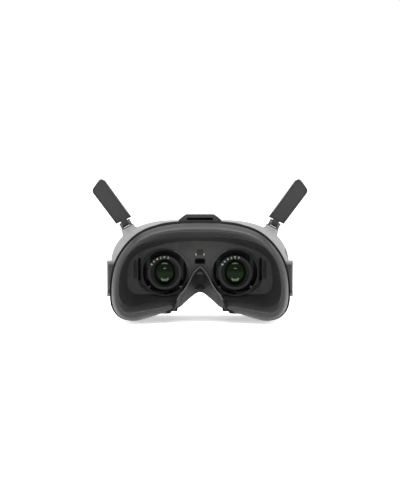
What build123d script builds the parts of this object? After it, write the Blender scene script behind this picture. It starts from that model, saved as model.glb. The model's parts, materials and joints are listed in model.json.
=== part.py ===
"""FPV video goggles: a head-worn twin-display viewer with two folding paddle antennas.

Frame: +X is the wearer's right, +Y is the way the wearer looks, +Z is up. The origin is under the
middle of the bounding box, on the surface that the goggles stand on. Millimetres.

The goggles are a hollow housing (main_shell and front_cover) with an eye panel at the back, a
funnel-shaped mask frame and a face cushion. Behind the panel two eye carriages slide on guide rods
(pupil distance). Each carries a display, a lens cell and a numbered dioptre ring, and a knob under
the housing turns the ring through a pinion and a crown gear while the lens cell moves in and out.
"""

from build123d import *
from math import cos, radians, sin
import os

os.makedirs("parts", exist_ok=True)

# ---------------------------------------------------------------- driving dimensions
PANEL_Y = -8.0            # back face of the eye panel, the plane the eyes look at
FRONT_Y = 52.0            # foremost face of the front cover
SPLIT_Y = 34.0            # joint between main shell and front cover
WALL = 2.2                # housing wall
NOSE_WALL = 2.2           # nose shield, a separate moulded tunnel
SHIELD_LOW_Z = 9.0        # its lower edge
CURVE_DROP = 26.0         # how much further back the temples reach than the forehead
TEMPLE_X = 83.0           # half width at which that drop is measured
SHELL_BACK_Y = -10.0      # back edge of the main shell, on the centre line
FLANGE_BACK_Y = -13.0     # back face of the mask frame's flange, on the centre line
CUSHION_BACK_Y = -28.2    # back of the cushion, on the centre line

EYE_X = 32.0              # half of the rest pupil distance
EYE_Z = 45.0              # height of the optical axes
IPD_TRAVEL = 4.0          # each eye moves this far each way
WINDOW_R = 20.2           # round opening in the eye panel

TUBE_R_IN, TUBE_R_OUT = 12.2, 12.9      # carriage nose tube
RING_R_IN, RING_R_OUT = 12.98, 15.7     # dioptre ring
CELL_R, LENS_R = 12.13, 11.6            # lens cell and the lens in it
RING_BACK_Y, RING_FRONT_Y = -15.5, 0.0  # dioptre ring, without its teeth
CROWN_TEETH, PINION_TEETH = 48, 8
TOOTH_MID_R = 14.4                      # radius at which the crown teeth are measured
TOOTH_H, TOOTH_LONG = 1.0, 1.8          # height, and length along the radius
CROWN_TOOTH, PINION_TOOTH = 0.60, 0.55  # tooth widths
PITCH_R = TOOTH_MID_R * PINION_TEETH / CROWN_TEETH
PINION_Y = RING_FRONT_Y + TOOTH_H / 2 + PITCH_R
SHAFT_R = 1.2
KNOB_R = 5.5
ROD_R, ROD_HOLE_R = 1.5, 1.55
ROD_Y, ROD_TOP_Z, ROD_LOW_Z = 12.0, 66.0, 29.5

HINGE_TILT = 28.0         # antenna hinge axis against the horizontal
COLLAR = Vector(66.0, 4.0, 84.8)        # centre of the right antenna collar
COLLAR_R = 6.0
HINGE_RISE = 3.9          # hinge axis above the collar plane
BLADE_THICK = 5.2

SIDES = (("left", -1), ("right", 1))


# the open bay under each eye that the knob turns in
BAY_BACK, BAY_FRONT = PINION_Y - KNOB_R - 0.7, PINION_Y + KNOB_R + 0.7
BAY_IN_X = EYE_X - IPD_TRAVEL - KNOB_R - 0.5
BAY_OUT_X = EYE_X + IPD_TRAVEL + KNOB_R + 0.5
BAY_ROOF, BAY_WALL = 13.4, 1.4
KNOB_LOW_Z, KNOB_TOP_Z = 6.4, 12.6

# side strap mounts
STRAP_LOW_Z, STRAP_HIGH_Z = 25.0, 56.5
STRAP_BACK_Y, STRAP_FRONT_Y = -31.0, -15.0
STRAP_FACE_X, STRAP_POCKET_X = 83.9, 76.9

# ports in a row on the wearer's left, and the touch pad on the right
PORT_Z, PORT_FACE_X, IO_BOARD_X = 30.0, -79.4, -66.0
BUTTON_Y, JACK_Y, POWER_Y, USB_Y = 0.0, 7.5, 16.5, 27.0
CARD_Y, CARD_Z = 14.0, 41.0
BUTTON_R, JACK_R, POWER_R = 2.5, 1.75, 2.75
PAD_DEPTH = 1.0
PAD_BACK_Y, PAD_FRONT_Y, PAD_LOW_Z, PAD_HIGH_Z = -6.0, 26.0, 34.0, 66.0

# nose of the headset
CAMERA_X, CAMERA_Z, CAMERA_WINDOW_R = 38.0, 29.0, 6.2
FAN_Z, FAN_R, FAN_BACK_Y, FAN_FRONT_Y = 54.0, 16.0, 37.0, 45.0
BOARD_Y = 24.0

# panel details
SENSOR_Z, SENSOR_W, SENSOR_H = 63.2, 6.4, 5.0
LATCH_Z, LATCH_W, LATCH_H = 55.0, 9.6, 5.2
VENT_X, VENT_W, VENT_LOW_Z, VENT_HIGH_Z = 55.0, 2.6, 37.0, 58.0
BEZEL_R = 21.4

# how far the housing's shoulder falls, as shares of its height: at the mask and further forward
MASK_SHOULDER = (0.042, 0.287, 0.488, 0.65)
FULL_SHOULDER = (0.022, 0.165, 0.33, 0.50)


# ---------------------------------------------------------------- shared shapes
def across(y):
    """The plane at that y, with x to the right and z up."""
    return Plane.XZ.offset(-y)


def closed_half(points):
    """Closed outline from its right half, top centre to bottom centre, level at both ends."""
    Spline(*points, tangents=[(1, 0), (-1, 0)])
    mirror(about=Plane.YZ)


def shell_outline(half_width, top, bottom, drops):
    """Housing section: a rounded box whose shoulder falls by the four given shares of its height."""
    high = top - bottom
    closed_half(
        [
            (0, top),
            (0.54 * half_width, top - drops[0] * high),
            (0.875 * half_width, top - drops[1] * high),
            (0.985 * half_width, top - drops[2] * high),
            (half_width, top - drops[3] * high),
            (0.955 * half_width, bottom + 0.15 * high),
            (0.79 * half_width, bottom + 0.01 * high),
            (0.60 * half_width, bottom + 0.03 * high),
            (0.40 * half_width, bottom + 0.09 * high),
            (0, bottom + 0.14 * high),
        ]
    )


def housing_body(inset):
    """The housing's outside, or its inside with inset equal to the wall."""
    stations = (
        (-42, 81.6, 89.0, 6.5, MASK_SHOULDER),
        (-12, 82.0, 91.3, 0.5, MASK_SHOULDER),
        (6, 81.2, 91.2, -0.6, FULL_SHOULDER),
        (18, 79.8, 90.6, -1.0, FULL_SHOULDER),
        (34, 74.5, 87.5, -1.0, FULL_SHOULDER),
        (46, 64.0, 80.5, 4.0, FULL_SHOULDER),
        (FRONT_Y, 54.0, 74.0, 11.0, FULL_SHOULDER),
    )
    with BuildPart() as body:
        for y, half_width, top, bottom, drops in stations:
            y_in = y - inset if y == FRONT_Y else y
            with BuildSketch(across(y_in)):
                with BuildLine():
                    shell_outline(half_width - inset, top - inset, bottom + inset, drops)
                make_face()
        loft()
    return body.part


def behind(centre_y, reach=120.0):
    """Everything behind the curved sheet through centre_y at the middle, further back at the temples."""
    with BuildPart() as beyond:
        with BuildSketch(Plane.XY.offset(-10)):
            with BuildLine():
                ThreePointArc(
                    (-TEMPLE_X, centre_y - CURVE_DROP), (0, centre_y), (TEMPLE_X, centre_y - CURVE_DROP)
                )
                Polyline(
                    (TEMPLE_X, centre_y - CURVE_DROP),
                    (TEMPLE_X + 20, centre_y - CURVE_DROP - 14),
                    (TEMPLE_X + 20, -reach),
                    (-TEMPLE_X - 20, -reach),
                    (-TEMPLE_X - 20, centre_y - CURVE_DROP - 14),
                    (-TEMPLE_X, centre_y - CURVE_DROP),
                )
            make_face()
        extrude(amount=130)
    return beyond.part


def cavity_outline(half_width, top, bottom, corner, shoulder):
    """Section of the space before the eyes: arched top, upright sides, level floor."""
    for side in (1, -1):
        mid_z = bottom + 0.36 * (top - bottom)
        Spline(
            (0, top), (side * shoulder[0], shoulder[1]), (side * half_width, mid_z),
            tangents=[(side, 0), (0, -1)],
        )
        Line((side * half_width, mid_z), (side * half_width, bottom + corner))
        RadiusArc(
            (side * half_width, bottom + corner), (side * (half_width - corner), bottom), side * corner
        )
        Line((side * (half_width - corner), bottom), (0, bottom))


def eye_cavity(grow):
    """The space between the eye panel and the face, widening towards the face."""
    stations = (
        (PANEL_Y, 66, 73.3, 24.7, 10, (42, 68)),
        (-30, 72.5, 84.5, 14.0, 15, (48, 76.5)),
        (-60, 76, 88.0, 7.5, 19, (51, 78)),
    )
    with BuildPart() as space:
        for y, half_width, top, bottom, corner, shoulder in stations:
            with BuildSketch(across(y)):
                with BuildLine():
                    cavity_outline(
                        half_width + grow, top + grow, bottom - grow, corner + grow,
                        (shoulder[0] + 0.5 * grow, shoulder[1] + 0.85 * grow),
                    )
                make_face()
        loft()
    return space.part


def nose_channel(grow):
    """The nose space: an arched tunnel, high at the bridge and low at the front."""
    back = [(0, 71.5), (12, 58), (17, 44), (20, 28), (21.5, 12), (22, -12)]
    front = [(0, 22.8), (5, 20.7), (11.3, 15.4), (16.8, 10.2), (20.5, 5.5), (22, -12)]
    front_end = FRONT_Y + 8
    with BuildPart() as tunnel:
        for y, arch in ((-52, back), (20, front)):
            with BuildSketch(across(y)):
                with BuildLine():
                    lifted = [(x + (grow if x else 0), z + 1.2 * grow) for x, z in arch]
                    lifted[-1] = (lifted[-1][0], arch[-1][1])
                    Spline(*lifted, tangents=[(1, 0), (0, -1)])
                    mirror(about=Plane.YZ)
                    Line(lifted[-1], (-lifted[-1][0], lifted[-1][1]))
                make_face()
        loft(ruled=True)
        extrude(tunnel.faces().sort_by(Axis.Y)[-1], amount=front_end - 20)
    return tunnel.part


def export(part, name):
    """Label the piece and write it as one node."""
    part.label = name
    export_step(part, f"parts/{name}.step")


def cushion_outline(grow):
    """Outline of the face cushion seen from behind: arched brow, full temples, two cheek lobes."""
    closed_half(
        [
            (0, 90.6 + grow),
            (18.0 + 0.05 * grow, 90.2 + grow),
            (35.5 + 0.25 * grow, 87.9 + grow),
            (53.6 + 0.55 * grow, 81.6 + 0.85 * grow),
            (67.0 + 0.8 * grow, 70.0 + 0.6 * grow),
            (75.2 + 0.95 * grow, 56.5 + 0.35 * grow),
            (78.9 + grow, 42.0),
            (79.7 + grow, 28.5),
            (78.4 + grow, 16.5),
            (73.0 + 0.5 * grow, 7.4 - 0.3 * grow),
            (63.5, 2.8),
            (47.6, 5.9),
            (30.4, 8.6),
            (21.0, 11.4),
            (0, 17.0),
        ]
    )


def face_slab(front_y, back_y, grow):
    """The cushion outline, grown, between two curved sheets given by their depth on the centre line."""
    with BuildPart() as slab:
        with BuildSketch(across(0)):
            with BuildLine():
                cushion_outline(grow)
            make_face()
        extrude(amount=70)
        add(behind(front_y), mode=Mode.INTERSECT)
        add(behind(back_y), mode=Mode.SUBTRACT)
    return slab.part


def antenna_frame(side):
    """Plane on the collar: z out of the collar, x along the hinge axis towards the wearer's right."""
    tilt = radians(HINGE_TILT) * side
    return Plane(
        origin=(side * COLLAR.X, COLLAR.Y, COLLAR.Z),
        x_dir=(cos(tilt), 0, -sin(tilt)),
        z_dir=(sin(tilt), 0, cos(tilt)),
    )


def turret(side):
    """Flared neck on the shoulder that carries an antenna: a concave revolve about the collar's axis."""
    seat = antenna_frame(side)
    with BuildPart() as neck:
        with BuildSketch(Plane(seat.origin, x_dir=seat.x_dir, z_dir=(0, -1, 0))):
            with BuildLine():
                Line((0, 0), (COLLAR_R + 0.4, 0))
                ThreePointArc((COLLAR_R + 0.4, 0), (COLLAR_R + 2.2, -5.4), (COLLAR_R + 9.0, -9.4))
                Polyline((COLLAR_R + 9.0, -9.4), (COLLAR_R + 9.0, -12), (0, -12), (0, 0))
            make_face()
        revolve(axis=Axis(seat.origin, seat.z_dir))
    return neck.part


def block(low, high):
    """A plain box between two corners."""
    with BuildPart() as body:
        with Locations(tuple((a + b) / 2 for a, b in zip(low, high))):
            Box(*[b - a for a, b in zip(low, high)])
    return body.part


def side_block(side, low, high):
    """The same box on the wearer's right (side 1) or mirrored to the left (side -1)."""
    low_x, high_x = sorted((side * low[0], side * high[0]))
    return block((low_x, low[1], low[2]), (high_x, high[1], high[2]))


def drum(plane, radius, length, bore=0.0):
    """A cylinder from the plane along its normal, with an optional hole down the middle."""
    with BuildPart() as body:
        with BuildSketch(plane):
            Circle(radius)
            if bore:
                Circle(bore, mode=Mode.SUBTRACT)
        extrude(amount=length)
    return body.part


def facing_front(x, y, z):
    """Plane whose normal is +Y."""
    return Plane(origin=(x, y, z), x_dir=(-1, 0, 0), z_dir=(0, 1, 0))


def port_plane(x, y):
    """Plane on the row of ports, whose normal points out of the wearer's left side."""
    return Plane(origin=(x, y, PORT_Z), x_dir=(0, 1, 0), z_dir=(-1, 0, 0))


# ---------------------------------------------------------------- housing
outside, inside = housing_body(0), housing_body(WALL)
cavity, cavity_outer = eye_cavity(0), eye_cavity(2.0)
nose, nose_wall = nose_channel(0), nose_channel(NOSE_WALL)

with BuildPart() as hollow:
    add(inside)
    split(bisect_by=Plane.XY.offset(WALL))

with BuildPart() as casing:
    add(outside)
    split(bisect_by=Plane.XY)
    add(hollow.part, mode=Mode.SUBTRACT)

with BuildPart() as touch_pad:
    with BuildSketch(Plane.YZ.offset(60)):
        with Locations(((PAD_BACK_Y + PAD_FRONT_Y) / 2, (PAD_LOW_Z + PAD_HIGH_Z) / 2)):
            RectangleRounded(PAD_FRONT_Y - PAD_BACK_Y, PAD_HIGH_Z - PAD_LOW_Z, 5)
    extrude(amount=40)
    add(outside, mode=Mode.INTERSECT)
    add(housing_body(PAD_DEPTH), mode=Mode.SUBTRACT)

with BuildPart() as necks:
    for side, sign in SIDES:
        add(turret(sign))
    add(hollow.part, mode=Mode.SUBTRACT)

with BuildPart() as walls:
    for side, sign in SIDES:
        bay_low = (BAY_IN_X - BAY_WALL, BAY_BACK - BAY_WALL, 0)
        bay_high = (BAY_OUT_X + BAY_WALL, BAY_FRONT + BAY_WALL, BAY_ROOF + BAY_WALL)
        add(side_block(sign, bay_low, bay_high))
        pocket_low = (STRAP_POCKET_X - 1.4, STRAP_BACK_Y - 1.5, STRAP_LOW_Z - 1.5)
        pocket_high = (90, STRAP_FRONT_Y + 1.5, STRAP_HIGH_Z + 1.5)
        add(side_block(sign, pocket_low, pocket_high))
    add(hollow.part, mode=Mode.INTERSECT)

with BuildPart() as main_shell:
    add(casing.part)
    add(walls.part)
    add(necks.part)
    split(bisect_by=across(SPLIT_Y), keep=Keep.TOP)
    add(behind(SHELL_BACK_Y), mode=Mode.SUBTRACT)
    add(nose_wall, mode=Mode.SUBTRACT)
    add(cavity_outer, mode=Mode.SUBTRACT)
    add(touch_pad.part, mode=Mode.SUBTRACT)
    for side, sign in SIDES:
        bay_low, bay_high = (BAY_IN_X, BAY_BACK, -2), (BAY_OUT_X, BAY_FRONT, BAY_ROOF)
        add(side_block(sign, bay_low, bay_high), mode=Mode.SUBTRACT)
        pocket_low = (STRAP_POCKET_X, STRAP_BACK_Y, STRAP_LOW_Z)
        pocket_high = (90, STRAP_FRONT_Y, STRAP_HIGH_Z)
        add(side_block(sign, pocket_low, pocket_high), mode=Mode.SUBTRACT)
        with BuildSketch(Plane.XY.offset(BAY_ROOF - 1)):
            with Locations((sign * EYE_X, PINION_Y)):
                SlotCenterToCenter(2 * IPD_TRAVEL, 2 * (SHAFT_R + 0.35))
        extrude(amount=4, mode=Mode.SUBTRACT)
    for y, radius in ((BUTTON_Y, BUTTON_R + 0.1), (JACK_Y, 3.1), (POWER_Y, 4.0)):
        add(drum(port_plane(-70, y), radius, 20), mode=Mode.SUBTRACT)
    with BuildSketch(port_plane(-70, USB_Y)):
        RectangleRounded(9.2, 3.4, 1.6)
    extrude(amount=20, mode=Mode.SUBTRACT)
    add(block((-90, CARD_Y - 6, CARD_Z - 0.9), (-70, CARD_Y + 6, CARD_Z + 0.9)), mode=Mode.SUBTRACT)

with BuildPart() as notch_wall:
    add(nose_wall)
    split(bisect_by=across(SPLIT_Y), keep=Keep.BOTTOM)
    add(hollow.part, mode=Mode.INTERSECT)

with BuildPart() as front_cover:
    add(casing.part)
    split(bisect_by=across(SPLIT_Y), keep=Keep.BOTTOM)
    add(notch_wall.part)
    add(nose, mode=Mode.SUBTRACT)
    for side, sign in SIDES:
        window_hole = drum(facing_front(sign * CAMERA_X, 46, CAMERA_Z), CAMERA_WINDOW_R, 10)
        add(window_hole, mode=Mode.SUBTRACT)
    with BuildSketch(across(46)):
        with Locations((0, FAN_Z)):
            with GridLocations(4.0, 0, 8, 1):
                SlotOverall(22.0, 2.0, rotation=90)
    extrude(amount=-10, mode=Mode.SUBTRACT)

with BuildPart() as top_strap_loop:
    with BuildSketch(across(-9.8)):
        with BuildLine():
            Polyline(
                (-20.3, 90.0), (-19.0, 93.0), (-12.6, 97.8), (12.6, 97.8), (19.0, 93.0), (20.3, 90.0),
                (-20.3, 90.0),
            )
        make_face()
        fillet(vertices().sort_by(Axis.Y)[-2:], 1.6)
        with Locations((0, 93.6)):
            RectangleRounded(24.0, 2.4, 1.1, mode=Mode.SUBTRACT)
    extrude(amount=-3.2)
    add(outside, mode=Mode.SUBTRACT)

# ---------------------------------------------------------------- mask and eye panel
with BuildPart() as mask_frame:
    add(cavity_outer)
    split(bisect_by=across(PANEL_Y), keep=Keep.TOP)
    add(behind(FLANGE_BACK_Y), mode=Mode.SUBTRACT)
    add(face_slab(SHELL_BACK_Y, FLANGE_BACK_Y, 1.5))
    add(cavity, mode=Mode.SUBTRACT)
    add(nose_wall, mode=Mode.SUBTRACT)

with BuildPart() as face_cushion:
    add(face_slab(FLANGE_BACK_Y, CUSHION_BACK_Y, 0))
    add(cavity, mode=Mode.SUBTRACT)
    add(nose_wall, mode=Mode.SUBTRACT)

with BuildPart() as nose_shield:
    add(nose_wall)
    add(nose, mode=Mode.SUBTRACT)
    split(bisect_by=across(SPLIT_Y), keep=Keep.TOP)
    add(behind(CUSHION_BACK_Y + 4), mode=Mode.SUBTRACT)
    split(bisect_by=Plane.XY.offset(SHIELD_LOW_Z))
    for sign in (-1, 1):
        low, high = (BAY_IN_X, BAY_BACK, SHIELD_LOW_Z - 1), (BAY_OUT_X, BAY_FRONT, BAY_ROOF)
        add(side_block(sign, low, high), mode=Mode.SUBTRACT)

with BuildPart() as eye_panel:
    with BuildSketch(across(PANEL_Y)):
        with BuildLine():
            cavity_outline(66 + 4, 73.3 + 4, 24.7 - 4, 14, (44, 71.4))
        make_face()
        with Locations((-EYE_X, EYE_Z), (EYE_X, EYE_Z)):
            Circle(WINDOW_R, mode=Mode.SUBTRACT)
        for sign in (-1, 1):
            with Locations((sign * VENT_X, (VENT_LOW_Z + VENT_HIGH_Z) / 2)):
                Rectangle(VENT_W, VENT_HIGH_Z - VENT_LOW_Z, mode=Mode.SUBTRACT)
            with Locations((sign * (VENT_X + 3.8), (VENT_LOW_Z + VENT_HIGH_Z) / 2)):
                RectangleRounded(3.6, 17.0, 1.2, mode=Mode.SUBTRACT)
        with Locations((0, SENSOR_Z)):
            RectangleRounded(SENSOR_W, SENSOR_H, 1.2, mode=Mode.SUBTRACT)
        with Locations((0, LATCH_Z)):
            RectangleRounded(LATCH_W, LATCH_H, 1.5, mode=Mode.SUBTRACT)
    extrude(amount=-2.4)
    add(nose_wall, mode=Mode.SUBTRACT)

# ---------------------------------------------------------------- eye panel fittings
def lens_bezel(side):
    """Raised rim round a window, low at the nose side and tall at the outer lower side."""
    slope = Plane(
        origin=(side * EYE_X, PANEL_Y - 2.4, EYE_Z), z_dir=(side * 0.075, 1.0, -0.075)
    )
    with BuildPart() as rim:
        with BuildSketch(across(PANEL_Y)):
            with Locations((side * EYE_X, EYE_Z)):
                Circle(BEZEL_R)
                Circle(WINDOW_R, mode=Mode.SUBTRACT)
        extrude(amount=6)
        split(bisect_by=slope, keep=Keep.TOP)
        add(nose_wall, mode=Mode.SUBTRACT)
        add(cavity, mode=Mode.INTERSECT)
    return rim.part


def vent_grille(side):
    """Perforated plate in the panel beside each eye."""
    with BuildPart() as grille:
        with BuildSketch(across(PANEL_Y + 0.4)):
            with Locations((side * (VENT_X + 3.8), (VENT_LOW_Z + VENT_HIGH_Z) / 2)):
                RectangleRounded(3.6, 17.0, 1.2)
                with GridLocations(1.2, 1.5, 2, 10):
                    Circle(0.4, mode=Mode.SUBTRACT)
        extrude(amount=-1.2)
    return grille.part


with BuildPart() as sensor_window:
    with BuildSketch(across(PANEL_Y - 0.3)):
        with Locations((0, SENSOR_Z)):
            RectangleRounded(SENSOR_W, SENSOR_H, 1.2)
    extrude(amount=-1.8)

with BuildPart() as sensor_board:
    add(block((-9, PANEL_Y + 2.6, SENSOR_Z - 3.2), (9, PANEL_Y + 3.8, SENSOR_Z + 5)))
    add(block((-1.5, PANEL_Y + 1.5, SENSOR_Z - 1.2), (1.5, PANEL_Y + 2.6, SENSOR_Z + 1.2)))

with BuildPart() as pocket_insert:
    with BuildSketch(across(PANEL_Y + 0.1)):
        with Locations((0, LATCH_Z)):
            RectangleRounded(LATCH_W, LATCH_H, 1.5)
    extrude(amount=-5)
    with BuildSketch(across(PANEL_Y + 0.1)):
        with Locations((0, LATCH_Z)):
            RectangleRounded(LATCH_W - 2.4, LATCH_H - 2.4, 0.8)
    extrude(amount=-4, mode=Mode.SUBTRACT)

# ---------------------------------------------------------------- strap mounts, ports, button
def side_strap_mount(side):
    """Liner of the side pocket with an upright bar for a strap end to loop round."""
    mid_y = (STRAP_BACK_Y + STRAP_FRONT_Y) / 2
    with BuildPart() as strap_mount:
        low = (STRAP_POCKET_X + 0.05, STRAP_BACK_Y + 0.1, STRAP_LOW_Z + 0.1)
        high = (STRAP_FACE_X, STRAP_FRONT_Y - 0.1, STRAP_HIGH_Z - 0.1)
        add(side_block(side, low, high))
        low = (STRAP_POCKET_X + 1.2, STRAP_BACK_Y, STRAP_LOW_Z + 2.6)
        high = (90, STRAP_FRONT_Y - 1.5, STRAP_HIGH_Z - 2.6)
        add(side_block(side, low, high), mode=Mode.SUBTRACT)
        low = (STRAP_FACE_X - 1.6, mid_y - 2, STRAP_LOW_Z + 1)
        high = (STRAP_FACE_X, mid_y + 2, STRAP_HIGH_Z - 1)
        add(side_block(side, low, high))
    return strap_mount.part


with BuildPart() as io_board:
    add(block((IO_BOARD_X, BUTTON_Y - 4, PORT_Z - 7), (IO_BOARD_X + 1.6, USB_Y + 5, CARD_Z + 4)))

with BuildPart() as power_socket:
    add(drum(port_plane(IO_BOARD_X, POWER_Y), 3.9, IO_BOARD_X - PORT_FACE_X, 0))
    add(drum(port_plane(IO_BOARD_X - 3, POWER_Y), POWER_R, 20), mode=Mode.SUBTRACT)

with BuildPart() as headphone_jack:
    add(drum(port_plane(IO_BOARD_X, JACK_Y), 3.0, IO_BOARD_X - PORT_FACE_X, 0))
    add(drum(port_plane(IO_BOARD_X - 1, JACK_Y), JACK_R, 20), mode=Mode.SUBTRACT)

with BuildPart() as usb_c_port:
    with BuildSketch(port_plane(IO_BOARD_X, USB_Y)):
        RectangleRounded(8.9, 3.2, 1.55)
    extrude(amount=12.0)
    with BuildSketch(port_plane(IO_BOARD_X - 1, USB_Y)):
        RectangleRounded(8.3, 2.6, 1.25)
    extrude(amount=20, mode=Mode.SUBTRACT)
    add(block((PORT_FACE_X + 3, USB_Y - 3.3, PORT_Z - 0.35), (IO_BOARD_X, USB_Y + 3.3, PORT_Z + 0.35)))

with BuildPart() as card_slot:
    add(block((PORT_FACE_X, CARD_Y - 5.9, CARD_Z - 0.8), (IO_BOARD_X, CARD_Y + 5.9, CARD_Z + 0.8)))
    card_space = block((-90, CARD_Y - 5.5, CARD_Z - 0.45), (IO_BOARD_X - 1, CARD_Y + 5.5, CARD_Z + 0.45))
    add(card_space, mode=Mode.SUBTRACT)

with BuildPart() as link_button:
    add(drum(port_plane(PORT_FACE_X + 3.4, BUTTON_Y), BUTTON_R, 4.4))
    fillet(link_button.edges().filter_by(GeomType.CIRCLE).sort_by(Axis.X)[0], 0.5)

with BuildPart() as button_switch:
    add(block((PORT_FACE_X + 4.4, BUTTON_Y - 2, PORT_Z - 2), (IO_BOARD_X, BUTTON_Y + 2, PORT_Z + 2)))

# ---------------------------------------------------------------- optics
FRAME_BACK_Y, FRAME_FRONT_Y = 20.0, 22.4
ROD_END_X, ROD_INNER_X = 61.0, 12.2
BLOCK_HALF_W, BLOCK_LOW_Z, BLOCK_HIGH_Z = 13.5, 26.0, 69.0
BLOCK_BACK_Y, BLOCK_FRONT_Y = 8.0, 16.0
ARM_LOW_Z, ARM_HIGH_Z = 22.5, 27.3


def rod_ear(low_x, high_x, rod_z, side=1):
    """Bracket of the optics frame round the end of a guide rod."""
    return side_block(side, (low_x, ROD_Y - 3, rod_z - 2.6), (high_x, FRAME_BACK_Y + 1, rod_z + 2.6))


def rod_hole(x, rod_z, length, radius):
    """Cylinder along X, centred at x, on the line of a guide rod."""
    start = Plane(origin=(x - length / 2, ROD_Y, rod_z), x_dir=(0, 1, 0), z_dir=(1, 0, 0))
    return drum(start, radius, length)


with BuildPart() as optics_frame:
    with BuildSketch(across(FRAME_BACK_Y)):
        with Locations((0, 49)):
            RectangleRounded(125, 44, 5)
        with Locations((-EYE_X, EYE_Z + 3), (EYE_X, EYE_Z + 3)):
            RectangleRounded(34, 26, 3, mode=Mode.SUBTRACT)
    extrude(amount=FRAME_BACK_Y - FRAME_FRONT_Y)
    add(rod_ear(-1.6, 1.6, ROD_TOP_Z))
    for side, sign in SIDES:
        add(rod_ear(ROD_END_X - 3, ROD_END_X, ROD_TOP_Z, sign))
        add(rod_ear(ROD_END_X - 3, ROD_END_X, ROD_LOW_Z, sign))
        add(rod_ear(ROD_INNER_X, ROD_INNER_X + 1.8, ROD_LOW_Z, sign))
    for rod_z in (ROD_TOP_Z, ROD_LOW_Z):
        add(rod_hole(0, rod_z, 2 * ROD_END_X, ROD_R), mode=Mode.SUBTRACT)
    add(nose_wall, mode=Mode.SUBTRACT)

with BuildPart() as guide_rod_upper:
    add(rod_hole(0, ROD_TOP_Z, 2 * ROD_END_X, ROD_R))


def lower_rod(side):
    """Short guide rod under one eye."""
    start = Plane(origin=(side * ROD_INNER_X, ROD_Y, ROD_LOW_Z), x_dir=(0, 1, 0), z_dir=(side, 0, 0))
    return drum(start, ROD_R, ROD_END_X - ROD_INNER_X)


def eye_carriage(side):
    """Sliding holder of one eye: rod block, nose tube, and an arm with the knob's bearing."""
    x = side * EYE_X
    with BuildPart() as holder:
        low = (x - BLOCK_HALF_W, BLOCK_BACK_Y, BLOCK_LOW_Z)
        high = (x + BLOCK_HALF_W, BLOCK_FRONT_Y, BLOCK_HIGH_Z)
        add(block(low, high))
        add(block((x - 4, PINION_Y - 3.2, ARM_LOW_Z), (x + 4, BLOCK_FRONT_Y, ARM_HIGH_Z)))
        add(drum(facing_front(x, -12, EYE_Z), TUBE_R_OUT, 24))
        add(drum(facing_front(x, -13, EYE_Z), TUBE_R_IN, 40), mode=Mode.SUBTRACT)
        for rod_z in (ROD_TOP_Z, ROD_LOW_Z):
            add(rod_hole(x, rod_z, 40, ROD_HOLE_R), mode=Mode.SUBTRACT)
        bearing = Plane(origin=(x, PINION_Y, ARM_LOW_Z - 1), z_dir=(0, 0, 1))
        add(drum(bearing, SHAFT_R + 0.05, 10), mode=Mode.SUBTRACT)
    return holder.part


def diopter_ring(side):
    """Ring turned by the knob, with a crown gear on its front face."""
    x = side * EYE_X
    with BuildPart() as ring:
        add(drum(facing_front(x, RING_BACK_Y, EYE_Z), RING_R_OUT, RING_FRONT_Y - RING_BACK_Y, RING_R_IN))
        back_rim = ring.edges().filter_by(GeomType.CIRCLE).group_by(Axis.Y)[0]
        chamfer(back_rim.sort_by(SortBy.RADIUS)[-1], 0.6)
        with BuildSketch(facing_front(x, RING_FRONT_Y, EYE_Z)):
            with PolarLocations(TOOTH_MID_R, CROWN_TEETH):
                Rectangle(TOOTH_LONG, CROWN_TOOTH)
        extrude(amount=TOOTH_H)
    return ring.part


def eye_knob(side):
    """Knurled knob with its shaft and the pinion that meets the crown gear."""
    x = side * EYE_X
    with BuildPart() as knob:
        with BuildSketch(Plane.XY.offset(KNOB_LOW_Z)):
            with Locations((x, PINION_Y)):
                Circle(KNOB_R)
                with PolarLocations(KNOB_R + 0.1, 30):
                    Circle(0.28, mode=Mode.SUBTRACT)
        extrude(amount=KNOB_TOP_Z - KNOB_LOW_Z)
        with BuildSketch(Plane.XY.offset(KNOB_LOW_Z)):
            with Locations((x, PINION_Y)):
                Circle(SHAFT_R)
        extrude(amount=EYE_Z - TOOTH_MID_R + TOOTH_LONG / 2 - KNOB_LOW_Z)
        hub_low, hub_high = ARM_HIGH_Z + 0.1, EYE_Z - TOOTH_MID_R + TOOTH_LONG / 2
        with BuildSketch(Plane.XY.offset(hub_low)):
            with Locations((x, PINION_Y)):
                Circle(PITCH_R - TOOTH_H / 2 - 0.2)
        extrude(amount=hub_high - hub_low)
        tooth_tip, tooth_root = PITCH_R + TOOTH_H / 2 - 0.1, 1.0
        with BuildSketch(Plane.XY.offset(EYE_Z - TOOTH_MID_R - TOOTH_LONG / 2)):
            with Locations((x, PINION_Y)):
                first = 90 + 180 / PINION_TEETH
                with PolarLocations((tooth_tip + tooth_root) / 2, PINION_TEETH, start_angle=first):
                    Rectangle(tooth_tip - tooth_root, PINION_TOOTH)
        extrude(amount=TOOTH_LONG)
    return knob.part


def lens_cell(side):
    """Cell that slides in the nose tube, closed at the eye side by a plate with an oval aperture."""
    x = side * EYE_X
    with BuildPart() as cell:
        add(drum(facing_front(x, -11, EYE_Z), CELL_R, 12))
        add(drum(facing_front(x, -9.6, EYE_Z), LENS_R + 0.05, 20), mode=Mode.SUBTRACT)
        with BuildSketch(facing_front(x, -12, EYE_Z)):
            Ellipse(9.7, 11.4)
        extrude(amount=5, mode=Mode.SUBTRACT)
    return cell.part


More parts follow.
